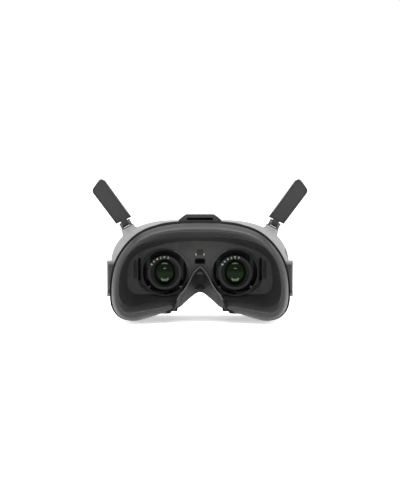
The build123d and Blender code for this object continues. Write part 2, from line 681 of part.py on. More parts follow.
def lens(side, back_y, thick, bulge):
    """A lens with a curved eye side, fitted in the cell."""
    x = side * EYE_X
    ball_r = (LENS_R ** 2 + bulge ** 2) / (2 * bulge)
    half_way = bulge - ball_r + (ball_r ** 2 - LENS_R ** 2 / 4) ** 0.5
    with BuildPart() as glass:
        with BuildSketch(Plane(origin=(x, 0, EYE_Z), x_dir=(1, 0, 0), z_dir=(0, 0, 1))):
            with BuildLine():
                Line((0, back_y - bulge), (0, back_y + thick))
                Line((0, back_y + thick), (LENS_R, back_y + thick))
                Line((LENS_R, back_y + thick), (LENS_R, back_y))
                ThreePointArc((LENS_R, back_y), (LENS_R / 2, back_y - half_way), (0, back_y - bulge))
            make_face()
        revolve(axis=Axis((x, 0, EYE_Z), (0, 1, 0)))
    return glass.part


def display(side):
    """Micro display on its back plate, carried behind the lens."""
    x = side * EYE_X
    with BuildPart() as panel:
        add(block((x - 13, BLOCK_FRONT_Y, EYE_Z - 11), (x + 13, BLOCK_FRONT_Y + 1.4, EYE_Z + 11)))
        add(block((x - 9.5, BLOCK_FRONT_Y - 1.2, EYE_Z - 6), (x + 9.5, BLOCK_FRONT_Y, EYE_Z + 6)))
    return panel.part


# ---------------------------------------------------------------- electronics
with BuildPart() as main_board:
    add(block((-56, BOARD_Y, 32), (56, BOARD_Y + 1.6, 76)))
    add(nose_wall, mode=Mode.SUBTRACT)
    with Locations((-30, BOARD_Y + 2.3, 44), (30, BOARD_Y + 2.3, 44), (38, BOARD_Y + 2.3, 64)):
        Box(12, 1.6, 12)

with BuildPart() as heat_sink:
    add(block((-22, BOARD_Y + 1.6, 38), (22, BOARD_Y + 3.4, 70)))
    with Locations((0, BOARD_Y + 6.9, 54)):
        with GridLocations(4.4, 0, 10, 1):
            Box(1.0, 7.0, 32)

with BuildPart() as fan_housing:
    with BuildSketch(facing_front(0, FAN_BACK_Y, FAN_Z)):
        RectangleRounded(2 * FAN_R + 4, 2 * FAN_R + 4, 3)
        Circle(FAN_R, mode=Mode.SUBTRACT)
    extrude(amount=FAN_FRONT_Y - FAN_BACK_Y)
    with BuildSketch(facing_front(0, FAN_FRONT_Y - 1.4, FAN_Z)):
        Rectangle(2 * FAN_R + 1, 2.4)
        Rectangle(2.4, 2 * FAN_R + 1)
        Circle(6.5)
    extrude(amount=1.4)
    add(drum(facing_front(0, FAN_BACK_Y + 1.2, FAN_Z), 1.0, 6))

with BuildPart() as fan_rotor:
    add(drum(facing_front(0, FAN_BACK_Y + 0.6, FAN_Z), 7.0, 5.4))
    with BuildSketch(facing_front(0, FAN_BACK_Y + 1.2, FAN_Z)):
        with PolarLocations(10.4, 9):
            Rectangle(9.6, 1.1, rotation=32)
        Circle(5.0)
    extrude(amount=4.4)
    add(drum(facing_front(0, FAN_BACK_Y + 1.0, FAN_Z), 1.05, 8), mode=Mode.SUBTRACT)


def camera_module(side):
    """Camera barrel behind its window."""
    body = (side * CAMERA_X, FRONT_Y - 12, CAMERA_Z)
    with BuildPart() as camera:
        add(drum(facing_front(*body), 4.4, 9.4))
        add(block((body[0] - 6, body[1] - 3, body[2] - 6), (body[0] + 6, body[1], body[2] + 6)))
        add(drum(facing_front(body[0], FRONT_Y - 4, body[2]), 3.4, 3), mode=Mode.SUBTRACT)
    return camera.part


def camera_window(side):
    """Round window over a camera."""
    return drum(facing_front(side * CAMERA_X, FRONT_Y - 1.9, CAMERA_Z), CAMERA_WINDOW_R, 1.4)


# ---------------------------------------------------------------- antennas
BLADE_POINTS = [(76.2, 88.2), (98.8, 118.4), (90.6, 129.8), (86.0, 127.0), (62.6, 94.6)]
LUG_IN, LUG_OUT, LUG_R, TONGUE_HALF = 3.1, 5.2, 2.5, 2.95
TONGUE_RISE = 4.0         # from the hinge axis into the foot of the paddle
PIN_R = 1.1


def hinge_plane(side, offset):
    """Plane square to the hinge axis, offset along it from the middle; y up the paddle."""
    seat = antenna_frame(side)
    centre = seat.origin + seat.z_dir * HINGE_RISE + seat.x_dir * offset
    return Plane(origin=centre, x_dir=(0, 1, 0), z_dir=seat.x_dir)


def hinge_profile(side, offset, width, hole):
    """A lug or tongue: a rounded plate on the hinge axis, reaching down to the collar."""
    with BuildPart() as plate:
        with BuildSketch(hinge_plane(side, offset)):
            Circle(LUG_R)
            with Locations((0, -(HINGE_RISE - 0.6) / 2)):
                Rectangle(2 * LUG_R, HINGE_RISE - 0.6)
            Circle(hole, mode=Mode.SUBTRACT)
        extrude(amount=width)
    return plate.part


def antenna_base(side):
    """Collar and the two lugs of the fork."""
    seat = antenna_frame(side)
    with BuildPart() as base:
        add(drum(seat, COLLAR_R, 0.9))
        add(hinge_profile(side, LUG_IN, LUG_OUT - LUG_IN, PIN_R))
        add(hinge_profile(side, -LUG_OUT, LUG_OUT - LUG_IN, PIN_R))
    return base.part


def blade_sketch(side, inset):
    """Outline of the antenna paddle, drawn in in by inset."""
    corners = [(side * x, z) for x, z in BLADE_POINTS][::side]
    with BuildSketch(across(COLLAR.Y - BLADE_THICK / 2)) as outline:
        with BuildLine():
            Polyline(*corners, close=True)
        make_face()
        fillet(outline.vertices().sort_by(Axis.Y)[-3], 4.5)
        fillet(outline.vertices().sort_by(Axis.Y)[-2:], 3.0)
        if inset:
            offset(amount=-inset)
    return outline.sketch


def antenna_shell(side):
    """Paddle, hollow from the back, with the tongue that turns between the lugs."""
    with BuildPart() as paddle:
        extrude(blade_sketch(side, 0), amount=BLADE_THICK, dir=(0, 1, 0))
        extrude(blade_sketch(side, 1.2), amount=BLADE_THICK - 1.2, dir=(0, 1, 0), mode=Mode.SUBTRACT)
        tongue = hinge_plane(side, -TONGUE_HALF)
        with BuildSketch(tongue):
            Circle(LUG_R)
            with Locations((0, TONGUE_RISE / 2)):
                Rectangle(2 * LUG_R, TONGUE_RISE)
        extrude(amount=2 * TONGUE_HALF)
        with BuildSketch(tongue):
            Circle(PIN_R + 0.05)
        extrude(amount=2 * TONGUE_HALF, mode=Mode.SUBTRACT)
    return paddle.part


def antenna_cap(side):
    """Back plate of the paddle."""
    with BuildPart() as cap:
        extrude(blade_sketch(side, 1.45), amount=1.2, dir=(0, 1, 0))
    return cap.part


def antenna_board(side):
    """Radiator board inside the paddle."""
    with BuildPart() as board:
        extrude(blade_sketch(side, 2.4), amount=0.8, dir=(0, 1, 0))
    return board.part.moved(Location((0, 2.2, 0)))


def antenna_pin(side):
    """Hinge pin across the fork."""
    return drum(hinge_plane(side, -LUG_OUT), PIN_R, 2 * LUG_OUT)


# ---------------------------------------------------------------- writing the nodes
export(main_shell.part, "main_shell")
export(front_cover.part, "front_cover")
export(touch_pad.part, "touch_pad")
export(top_strap_loop.part, "top_strap_loop")
export(mask_frame.part, "mask_frame")
export(face_cushion.part, "face_cushion")
export(nose_shield.part, "nose_shield")
export(eye_panel.part, "eye_panel")
export(sensor_window.part, "sensor_window")
export(sensor_board.part, "sensor_board")
export(pocket_insert.part, "pocket_insert")
export(io_board.part, "io_board")
export(power_socket.part, "power_socket")
export(headphone_jack.part, "headphone_jack")
export(usb_c_port.part, "usb_c_port")
export(card_slot.part, "card_slot")
export(link_button.part, "link_button")
export(button_switch.part, "button_switch")
export(optics_frame.part, "optics_frame")
export(guide_rod_upper.part, "guide_rod_upper")
export(main_board.part, "main_board")
export(heat_sink.part, "heat_sink")
export(fan_housing.part, "fan_housing")
export(fan_rotor.part, "fan_rotor")
for side, sign in SIDES:
    export(lens_bezel(sign), f"lens_bezel_{side}")
    export(vent_grille(sign), f"vent_grille_{side}")
    export(side_strap_mount(sign), f"side_strap_mount_{side}")
    export(lower_rod(sign), f"guide_rod_lower_{side}")
    export(eye_carriage(sign), f"eye_carriage_{side}")
    export(diopter_ring(sign), f"diopter_ring_{side}")
    export(eye_knob(sign), f"eye_knob_{side}")
    export(lens_cell(sign), f"lens_cell_{side}")
    export(lens(sign, -7.1, 2.6, 2.4), f"eye_lens_{side}")
    export(lens(sign, -2.4, 2.6, 1.4), f"rear_lens_{side}")
    export(display(sign), f"display_{side}")
    export(camera_module(sign), f"camera_module_{side}")
    export(camera_window(sign), f"camera_window_{side}")
    export(antenna_base(sign), f"antenna_base_{side}")
    export(antenna_pin(sign), f"antenna_pin_{side}")
    export(antenna_shell(sign), f"antenna_shell_{side}")
    export(antenna_cap(sign), f"antenna_cap_{side}")
    export(antenna_board(sign), f"antenna_board_{side}")
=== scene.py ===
"""FPV goggles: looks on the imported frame. Metres, +X wearer's right, +Y forward, +Z up."""
import bpy
import bmesh
import json
from math import cos, hypot, pi, radians, sin
from mathutils import Matrix, Vector, noise
from mathutils.kdtree import KDTree

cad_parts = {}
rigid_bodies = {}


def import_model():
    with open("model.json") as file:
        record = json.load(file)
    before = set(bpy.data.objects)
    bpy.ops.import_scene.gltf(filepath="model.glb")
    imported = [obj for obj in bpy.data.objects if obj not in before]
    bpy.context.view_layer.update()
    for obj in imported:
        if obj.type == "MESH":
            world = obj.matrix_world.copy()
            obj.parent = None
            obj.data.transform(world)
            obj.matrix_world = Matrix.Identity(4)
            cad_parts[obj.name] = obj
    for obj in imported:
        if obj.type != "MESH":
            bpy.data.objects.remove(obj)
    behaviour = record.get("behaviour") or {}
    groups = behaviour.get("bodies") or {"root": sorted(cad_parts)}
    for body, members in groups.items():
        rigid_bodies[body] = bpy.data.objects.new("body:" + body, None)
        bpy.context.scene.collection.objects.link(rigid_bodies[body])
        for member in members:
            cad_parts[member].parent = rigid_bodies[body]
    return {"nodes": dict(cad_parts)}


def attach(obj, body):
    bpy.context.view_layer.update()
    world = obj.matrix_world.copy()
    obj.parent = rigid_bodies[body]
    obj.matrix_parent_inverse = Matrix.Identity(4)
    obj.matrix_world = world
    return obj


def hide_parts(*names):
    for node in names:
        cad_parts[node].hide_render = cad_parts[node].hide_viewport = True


for leftover in list(bpy.data.objects):
    bpy.data.objects.remove(leftover)
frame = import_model()
bpy.context.view_layer.update()
MM = 0.001
SIDES = (("left", -1), ("right", 1))
EYE_X, EYE_Z = 32.0, 45.0
ROOT = "headset"


# ------------------------------------------------------------------ materials
def node(tree, kind, **inputs):
    made = tree.nodes.new(kind)
    for key, value in inputs.items():
        made.inputs[key.replace("_", " ")].default_value = value
    return made


def material(name, dark, light, rough=0.5, rough_spread=0.08, grain_mm=0.5, bump=0.12, cloud_mm=14.0,
             metallic=0.0, coat=0.0, coat_rough=0.2, sheen=0.0, worn=None, specular=0.5):
    """Principled surface with cloudy colour, fine grain, uneven roughness and optional worn edges."""
    mat = bpy.data.materials.new(name)
    mat.use_nodes = True
    tree = mat.node_tree
    shader = tree.nodes["Principled BSDF"]
    shader.inputs["Metallic"].default_value = metallic
    shader.inputs["Specular IOR Level"].default_value = specular
    shader.inputs["Coat Weight"].default_value = coat
    shader.inputs["Coat Roughness"].default_value = coat_rough
    shader.inputs["Sheen Weight"].default_value = sheen
    where = tree.nodes.new("ShaderNodeTexCoord")
    clouds = node(tree, "ShaderNodeTexNoise", Scale=1000.0 / cloud_mm, Detail=4.0, Roughness=0.55)
    grain = node(tree, "ShaderNodeTexNoise", Scale=1000.0 / grain_mm, Detail=3.0, Roughness=0.6)
    tree.links.new(where.outputs["Object"], clouds.inputs["Vector"])
    tree.links.new(where.outputs["Object"], grain.inputs["Vector"])
    ramp = tree.nodes.new("ShaderNodeValToRGB")
    ramp.color_ramp.elements[0].position = 0.30
    ramp.color_ramp.elements[1].position = 0.72
    ramp.color_ramp.elements[0].color = (*dark, 1)
    ramp.color_ramp.elements[1].color = (*light, 1)
    mixed = tree.nodes.new("ShaderNodeMath")
    mixed.operation = "MULTIPLY_ADD"
    mixed.inputs[1].default_value = 0.35
    tree.links.new(grain.outputs["Fac"], mixed.inputs[0])
    scaled = tree.nodes.new("ShaderNodeMath")
    scaled.operation = "MULTIPLY"
    scaled.inputs[1].default_value = 0.65
    tree.links.new(clouds.outputs["Fac"], scaled.inputs[0])
    tree.links.new(scaled.outputs[0], mixed.inputs[2])
    tree.links.new(mixed.outputs[0], ramp.inputs["Fac"])
    colour = ramp.outputs["Color"]
    if worn:
        edges = tree.nodes.new("ShaderNodeNewGeometry")
        edge_ramp = tree.nodes.new("ShaderNodeValToRGB")
        edge_ramp.color_ramp.elements[0].position = 0.52
        edge_ramp.color_ramp.elements[1].position = 0.62
        blend = tree.nodes.new("ShaderNodeMix")
        blend.data_type = "RGBA"
        blend.inputs["B"].default_value = (*worn, 1)
        tree.links.new(edges.outputs["Pointiness"], edge_ramp.inputs["Fac"])
        tree.links.new(edge_ramp.outputs["Color"], blend.inputs["Factor"])
        tree.links.new(colour, blend.inputs["A"])
        colour = blend.outputs["Result"]
    tree.links.new(colour, shader.inputs["Base Color"])
    spread = tree.nodes.new("ShaderNodeMapRange")
    spread.inputs["To Min"].default_value = max(0.02, rough - rough_spread)
    spread.inputs["To Max"].default_value = min(1.0, rough + rough_spread)
    tree.links.new(mixed.outputs[0], spread.inputs["Value"])
    tree.links.new(spread.outputs["Result"], shader.inputs["Roughness"])
    relief = node(tree, "ShaderNodeBump", Strength=bump, Distance=grain_mm * MM * 0.5)
    tree.links.new(grain.outputs["Fac"], relief.inputs["Height"])
    tree.links.new(relief.outputs["Normal"], shader.inputs["Normal"])
    return mat


def glass(name, tint, specular=0.5, rough=0.03, tint_reflect=(1.0, 1.0, 1.0)):
    """Coated glass over a dark interior, with a faint cloudy smear in its roughness."""
    mat = bpy.data.materials.new(name)
    mat.use_nodes = True
    tree = mat.node_tree
    shader = tree.nodes["Principled BSDF"]
    shader.inputs["IOR"].default_value = 1.5
    shader.inputs["Specular IOR Level"].default_value = specular
    shader.inputs["Specular Tint"].default_value = (*tint_reflect, 1)
    where = tree.nodes.new("ShaderNodeTexCoord")
    smear = node(tree, "ShaderNodeTexNoise", Scale=90.0, Detail=5.0, Roughness=0.6)
    tree.links.new(where.outputs["Object"], smear.inputs["Vector"])
    ramp = tree.nodes.new("ShaderNodeValToRGB")
    ramp.color_ramp.elements[0].color = (*[c * 0.8 for c in tint], 1)
    ramp.color_ramp.elements[1].color = (*[min(1.0, c * 1.2) for c in tint], 1)
    tree.links.new(smear.outputs["Fac"], ramp.inputs["Fac"])
    tree.links.new(ramp.outputs["Color"], shader.inputs["Base Color"])
    spread = tree.nodes.new("ShaderNodeMapRange")
    spread.inputs["To Min"].default_value = rough
    spread.inputs["To Max"].default_value = rough + 0.05
    tree.links.new(smear.outputs["Fac"], spread.inputs["Value"])
    tree.links.new(spread.outputs["Result"], shader.inputs["Roughness"])
    return mat


def grey(value):
    return (value, value, value)


M = {
    "shell": material("shell_plastic", grey(0.135), grey(0.168), rough=0.50, grain_mm=0.35, bump=0.10,
                      worn=grey(0.23), specular=0.26),
    "cover": material("cover_plastic", grey(0.006), grey(0.011), rough=0.28, rough_spread=0.05, grain_mm=0.8,
                      bump=0.02, coat=0.12, coat_rough=0.12, specular=0.16),
    "pad": material("touch_pad_plastic", grey(0.012), grey(0.018), rough=0.25, grain_mm=0.6, bump=0.02),
    "foam": material("cushion_foam", grey(0.0085), grey(0.0125), rough=0.46, grain_mm=0.45, bump=0.24,
                     cloud_mm=24, sheen=0.05, specular=0.26),
    "mask": material("mask_plastic", grey(0.011), grey(0.015), rough=0.6, grain_mm=0.35, bump=0.16,
                     specular=0.14),
    "panel": material("panel_plastic", grey(0.0085), grey(0.0120), rough=0.58, grain_mm=0.30, bump=0.16,
                      worn=grey(0.03), specular=0.10),
    "rubber": material("nose_rubber", grey(0.0040), grey(0.0065), rough=0.62, grain_mm=0.5, bump=0.12,
                       specular=0.09),
    # lighter rubber for the bead along the nose flap's top: a painted highlight
    "ridge": material("nose_rubber_painted_highlight", grey(0.050), grey(0.070), rough=0.40, grain_mm=0.5, bump=0.08,
                      specular=0.3),
    "ring": material("ring_plastic", grey(0.0028), grey(0.0045), rough=0.50, grain_mm=0.25, bump=0.14,
                     worn=grey(0.014), specular=0.08),
    "baffle": material("baffle_plastic", grey(0.002), grey(0.0035), rough=0.62, grain_mm=0.3, bump=0.1,
                       specular=0.06),
    "paint": material("dial_paint", grey(0.26), grey(0.36), rough=0.5, grain_mm=0.2, bump=0.05, cloud_mm=3),
    "antenna": material("antenna_plastic", grey(0.016), grey(0.021), rough=0.55, grain_mm=0.30, bump=0.12,
                        specular=0.16),
    # lighter grey for the bead along each paddle's edge: a painted highlight
    "antenna_edge_highlight": material("antenna_edge_highlight", grey(0.075), grey(0.095), rough=0.40, grain_mm=0.4, bump=0.06,
                             specular=0.3),
    "fork": material("fork_plastic", grey(0.004), grey(0.007), rough=0.45, grain_mm=0.3, bump=0.1,
                     worn=grey(0.06), specular=0.25),
    # lighter grey for beads along edges that catch the light: painted highlights
    "edge_highlight_paint": material("edge_highlight_plastic", grey(0.045), grey(0.060), rough=0.42, grain_mm=0.3, bump=0.08,
                     specular=0.3),
    "loop": material("loop_plastic", grey(0.022), grey(0.030), rough=0.5, grain_mm=0.35, bump=0.1,
                     specular=0.2),
    "frame": material("frame_plastic", grey(0.006), grey(0.009), rough=0.55, grain_mm=0.4, bump=0.1,
                      specular=0.15),
    "mount": material("strap_mount_plastic", grey(0.060), grey(0.080), rough=0.5, grain_mm=0.35, bump=0.12,
                      worn=grey(0.12), specular=0.2),
    "steel": material("rod_steel", grey(0.42), grey(0.52), rough=0.28, grain_mm=0.2, bump=0.05, metallic=1.0),
    "sink": material("sink_aluminium", grey(0.55), grey(0.66), rough=0.35, grain_mm=0.3, bump=0.05,
                     metallic=1.0),
    "board": material("circuit_board", (0.010, 0.045, 0.024), (0.016, 0.07, 0.036), rough=0.4, grain_mm=0.8,
                      bump=0.15),
    "knob": material("knob_plastic", grey(0.014), grey(0.020), rough=0.5, grain_mm=0.3, bump=0.12,
                     worn=grey(0.05), specular=0.25),
    # near-black: the pocket insert, and the plate of painted shade behind the strap loop's slot
    "near_black_and_painted_shade": material("near_black_and_shade_fill", grey(0.002), grey(0.004), rough=0.8, grain_mm=0.5, bump=0.1, specular=0.05),
    "bronze": material("sensor_window", (0.0095, 0.0085, 0.0062), (0.013, 0.011, 0.008), rough=0.18,
                       rough_spread=0.04, grain_mm=0.8, bump=0.01, specular=0.12),
    "mark": material("sensor_mark", grey(0.16), grey(0.21), rough=0.3, grain_mm=0.3, bump=0.02),
    "lens": glass("lens_glass", (0.0022, 0.0046, 0.0020), specular=0.07, tint_reflect=(0.66, 1.0, 0.62)),
    # lighter greenish glass for the patches in each lens: painted reflections of the lights
    "glint": glass("lens_painted_reflection", (0.095, 0.120, 0.085), specular=0.12, rough=0.25),
    "window": glass("camera_glass", (0.004, 0.005, 0.008), specular=0.4),
    "display": glass("display_glass", (0.006, 0.008, 0.010), specular=0.3, rough=0.1),
}

CAD_LOOKS = {
    "main_shell": "shell", "front_cover": "cover", "touch_pad": "pad", "top_strap_loop": "loop",
    "mask_frame": "mask", "eye_panel": "panel", "sensor_window": "bronze", "sensor_board": "board",
    "pocket_insert": "near_black_and_painted_shade", "io_board": "board", "power_socket": "frame", "headphone_jack": "steel",
    "usb_c_port": "steel", "card_slot": "frame", "link_button": "knob", "button_switch": "board",
    "optics_frame": "frame", "guide_rod_upper": "steel", "main_board": "board", "heat_sink": "sink",
    "fan_housing": "frame", "fan_rotor": "frame",
}
for side, sign in SIDES:
    CAD_LOOKS.update({
        f"lens_bezel_{side}": "ring", f"vent_grille_{side}": "mask", f"side_strap_mount_{side}": "mount",
        f"guide_rod_lower_{side}": "steel", f"eye_carriage_{side}": "frame", f"diopter_ring_{side}": "ring",
        f"eye_knob_{side}": "knob", f"lens_cell_{side}": "baffle", f"eye_lens_{side}": "lens",
        f"rear_lens_{side}": "lens", f"display_{side}": "display", f"camera_module_{side}": "frame",
        f"camera_window_{side}": "window", f"antenna_base_{side}": "fork", f"antenna_pin_{side}": "steel",
        f"antenna_shell_{side}": "antenna", f"antenna_cap_{side}": "antenna",
        f"antenna_board_{side}": "board",
    })
for name, look in CAD_LOOKS.items():
    solid = frame["nodes"][name]
    for place in solid.material_slots:
        place.material = M[look]


# ------------------------------------------------------------------ mesh helpers
def mesh_object(name, verts, faces, look, body, smooth=True):
    """A piece from points in millimetres, riding on a body."""
    data = bpy.data.meshes.new(name)
    data.from_pydata([[c * MM for c in v] for v in verts], [], faces)
    data.update()
    piece = bpy.data.objects.new(name, data)
    bpy.context.collection.objects.link(piece)
    data.materials.append(M[look])
    for face in data.polygons:
        face.use_smooth = smooth
    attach(piece, body)
    return piece


def grid(rows, wrap_u=False):
    """(verts, faces) of a grid of points given row by row, each row closed into a ring by wrap_u."""
    count, width = len(rows), len(rows[0])
    verts = [point for row in rows for point in row]
    faces = []
    for i in range(count - 1):
        for j in range(width if wrap_u else width - 1):
            a, b = i * width + j, i * width + (j + 1) % width
            c, d = (i + 1) * width + (j + 1) % width, (i + 1) * width + j
            faces.append((a, b, c, d))
    return verts, faces


def apply_modifiers(piece):
    """Bakes a piece's modifiers into its mesh."""
    bpy.context.view_layer.update()
    graph = bpy.context.evaluated_depsgraph_get()
    baked = bpy.data.meshes.new_from_object(piece.evaluated_get(graph))
    piece.modifiers.clear()
    piece.data = baked


def tube(name, points, radius, look, body, ring=10):
    """Round bead along points in millimetres."""
    rows = []
    count = len(points)
    for i, here in enumerate(points):
        before = Vector(points[max(i - 1, 0)])
        after = Vector(points[min(i + 1, count - 1)])
        along = (after - before).normalized()
        side_way = along.cross(Vector((0, 1, 0)))
        side_way = side_way.normalized() if side_way.length > 1e-6 else Vector((1, 0, 0))
        up_way = along.cross(side_way).normalized()
        turns = [2 * pi * k / ring for k in range(ring)]
        rows.append([tuple(Vector(here) + radius * (cos(t) * side_way + sin(t) * up_way)) for t in turns])
    verts, faces = grid(rows, wrap_u=True)
    faces.append(tuple(range(ring))[::-1])
    faces.append(tuple(range((count - 1) * ring, count * ring)))
    return mesh_object(name, verts, faces, look, body)


def spline(points, count):
    """Catmull-Rom curve through points, evenly sampled by parameter."""
    out = []
    spans = len(points) - 1
    for i in range(count):
        t = spans * i / (count - 1)
        k = min(int(t), spans - 1)
        f = t - k
        p0, p1, p2, p3 = (points[max(0, min(spans, k + d))] for d in (-1, 0, 1, 2))
        out.append(tuple(
            0.5 * (2 * b + (c - a) * f + (2 * a - 5 * b + 4 * c - d) * f * f
                   + (3 * b - a - 3 * c + d) * f ** 3)
            for a, b, c, d in zip(p0, p1, p2, p3)
        ))
    return out


def join(name, parts, body):
    """One piece made of several meshes."""
    merged = bmesh.new()
    mats = []
    for part in parts:
        data = part.data.copy()
        data.transform(part.matrix_world)
        for slot_mat in part.data.materials:
            if slot_mat not in mats:
                mats.append(slot_mat)
        index = mats.index(part.data.materials[0])
        for face in data.polygons:
            face.material_index = index
        merged.from_mesh(data)
        bpy.data.objects.remove(part)
    data = bpy.data.meshes.new(name)
    merged.to_mesh(data)
    merged.free()
    for slot_mat in mats:
        data.materials.append(slot_mat)
    piece = bpy.data.objects.new(name, data)
    bpy.context.collection.objects.link(piece)
    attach(piece, body)
    return piece


# ------------------------------------------------------------------ face cushion
CUSHION_OUTLINE = [(0, 90.6), (18.0, 90.2), (35.5, 87.9), (53.6, 81.6), (67.0, 70.0), (75.2, 56.5),
                   (78.9, 42.0), (79.7, 28.5), (78.4, 16.5), (73.0, 7.4), (63.5, 2.8), (47.6, 5.9),
                   (30.4, 8.6), (24.0, 10.2)]
SHEET_R = (83.0 ** 2 + 26.0 ** 2) / 52.0        # plan radius of the mask's curved sheets
FLANGE_Y, CREST_Y = -13.0, -28.2
SPINE_X, SPINE_Z = 42.0, 46.0                   # the rolled lip leans towards this level line
LIP_ROLL, LIP_WIDTH = 4.2, 9.0                  # how far the lip rolls in, and over what width
FOAM_SWELL, FOAM_UNEVEN = 0.0007, 0.00004       # metres, outwards


def sheet_y(centre_y, x):
    """Depth of the curved sheet through centre_y, at x."""
    return centre_y - SHEET_R + (SHEET_R ** 2 - min(abs(x), 140.0) ** 2) ** 0.5


def ease(value):
    value = max(0.0, min(1.0, value))
    return value * value * (3 - 2 * value)


def soft_cushion():
    """The moulded foam cushion: the CAD solid's shape with a rolled lip and slightly uneven foam."""
    source = frame["nodes"]["face_cushion"]
    data = source.data.copy()
    piece = bpy.data.objects.new("face_cushion_foam", data)
    bpy.context.collection.objects.link(piece)
    data.materials.clear()
    data.materials.append(M["foam"])
    remesh = piece.modifiers.new("remesh", "REMESH")
    remesh.mode = "VOXEL"
    remesh.voxel_size = 1.1 * MM
    apply_modifiers(piece)
    rim = spline(CUSHION_OUTLINE, 240)
    tree = KDTree(2 * len(rim))
    for i, (x, z) in enumerate(rim):
        tree.insert((x, z, 0), 2 * i)
        tree.insert((-x, z, 0), 2 * i + 1)
    tree.balance()
    for vert in piece.data.vertices:
        x, y, z = (c / MM for c in vert.co)
        depth = (sheet_y(FLANGE_Y, x) - y) / (FLANGE_Y - CREST_Y)
        gap = tree.find((x, z, 0))[2]
        inward = Vector((max(-SPINE_X, min(SPINE_X, x)) - x, 0, SPINE_Z - z)).normalized()
        near_rim = 1 - ease(gap / LIP_WIDTH)
        roll = LIP_ROLL * ease(depth) ** 1.6 * near_rim
        vert.co += inward * roll * MM
    smooth = piece.modifiers.new("smooth", "SMOOTH")
    smooth.factor = 0.6
    smooth.iterations = 80
    apply_modifiers(piece)
    for vert in piece.data.vertices:
        vert.co += vert.normal * (FOAM_SWELL + noise.noise(vert.co * 60) * FOAM_UNEVEN)
    divide = piece.modifiers.new("divide", "SUBSURF")
    divide.levels = divide.render_levels = 1
    apply_modifiers(piece)
    for face in piece.data.polygons:
        face.use_smooth = True
    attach(piece, ROOT)
    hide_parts("face_cushion")


soft_cushion()

# ------------------------------------------------------------------ nose flap
FLAP_BACK = [(0, -14, 49.6), (2.2, -14.2, 48.4), (4.6, -14.6, 45.6), (7.5, -16, 41.2), (10.4, -18, 35.6),
             (13.9, -20.5, 30.0), (18.0, -24, 25.4), (20.6, -25.8, 20.6), (22.6, -26.5, 15.6),
             (25.5, -26.8, 11.0), (30.5, -26.8, 8.9)]
FLAP_FRONT = [(0, 33.8, 22.8), (2.5, 33.8, 22.2), (5, 33.8, 20.7), (8.1, 33.8, 18.2), (11.3, 33.8, 15.4),
              (14.1, 33.8, 12.9), (16.0, 33.8, 11.0), (17.0, 33.8, 10.0), (17.8, 33.8, 9.4),
              (18.6, 33.8, 9.0), (19.4, 33.8, 8.8)]


def whole_arch(half):
    """Both sides of a half curve, left to right."""
    left = [(-x, y, z) for x, y, z in half[:0:-1]]
    return left + list(half)


KNOB_CLEAR_X = 20.3                             # the flap stays nearer the middle than this beside a knob


def nose_flap():
    back, front = spline(whole_arch(FLAP_BACK), 97), spline(whole_arch(FLAP_FRONT), 97)
    rows = []
    for k in range(25):
        f = k / 24
        row = []
        for b, c in zip(back, front):
            bow = sin(pi * f) * 1.2 * (1 - abs(b[0]) / 30)
            x, y, z = b[0] + (c[0] - b[0]) * f, b[1] + (c[1] - b[1]) * f, b[2] + (c[2] - b[2]) * f - bow
            # kept clear of the knobs, whose bays come closest to the nose at full inward travel
            beside_knob = ease((y + 7.5) / 3.5) * ease((17 - y) / 6)
            reach = KNOB_CLEAR_X + 12 * (1 - beside_knob)
            row.append((max(-reach, min(reach, x)), y, z))
        rows.append(row)
    verts, faces = grid(rows)
    piece = mesh_object("nose_flap", verts, faces, "rubber", ROOT)
    thick = piece.modifiers.new("thick", "SOLIDIFY")
    thick.thickness = 1.1 * MM
    thick.offset = 1.0
    apply_modifiers(piece)
    for face in piece.data.polygons:
        face.use_smooth = True
    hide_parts("nose_shield")
    # a bead in a lighter rubber along the flap's top edge: painted highlight
    lip = spline(whole_arch(FLAP_BACK[:8]), 121)
    lip = [(x, y - 0.15, z + 0.35) for x, y, z in lip]
    tube("nose_flap_highlight_bead", lip, 0.42, "ridge", ROOT)


nose_flap()


# ------------------------------------------------------------------ dioptre numbers and baffles
def lettering(name, words, size_mm, look):
    """Mesh of a short number, centred, in the X Z plane facing -Y."""
    curve = bpy.data.curves.new(name, "FONT")
    curve.body = words
    curve.size = size_mm * MM
    curve.align_x, curve.align_y = "CENTER", "CENTER"
    curve.extrude = 0.04 * MM
    curve.resolution_u = 3
    holder = bpy.data.objects.new(name, curve)
    bpy.context.collection.objects.link(holder)
    bpy.context.view_layer.update()
    graph = bpy.context.evaluated_depsgraph_get()
    data = bpy.data.meshes.new_from_object(holder.evaluated_get(graph))
    bpy.data.objects.remove(holder)
    data.transform(Matrix.Rotation(radians(90), 4, "X"))
    data.materials.clear()
    data.materials.append(M[look])
    piece = bpy.data.objects.new(name, data)
    bpy.context.collection.objects.link(piece)
    return piece


DIAL_R, DIAL_Y = 14.05, -15.56


def dial(side, sign):
    """Numbers on the back face of one dioptre ring."""
    body = f"diopter_ring_{side}"
    parts = []
    for step, word in enumerate(("8", "6", "4", "2", "0", "2")):
        turn = radians(-57 + 14 * step)
        number = lettering(f"n{side}{step}", word, 2.7, "paint")
        number.data.transform(Matrix.Rotation(turn, 4, "Y"))
        centre = Vector((sign * EYE_X + DIAL_R * sin(turn), DIAL_Y, EYE_Z + DIAL_R * cos(turn))) * MM
        number.data.transform(Matrix.Translation(centre))
        parts.append(number)
    join(f"dial_numbers_{side}", parts, body)


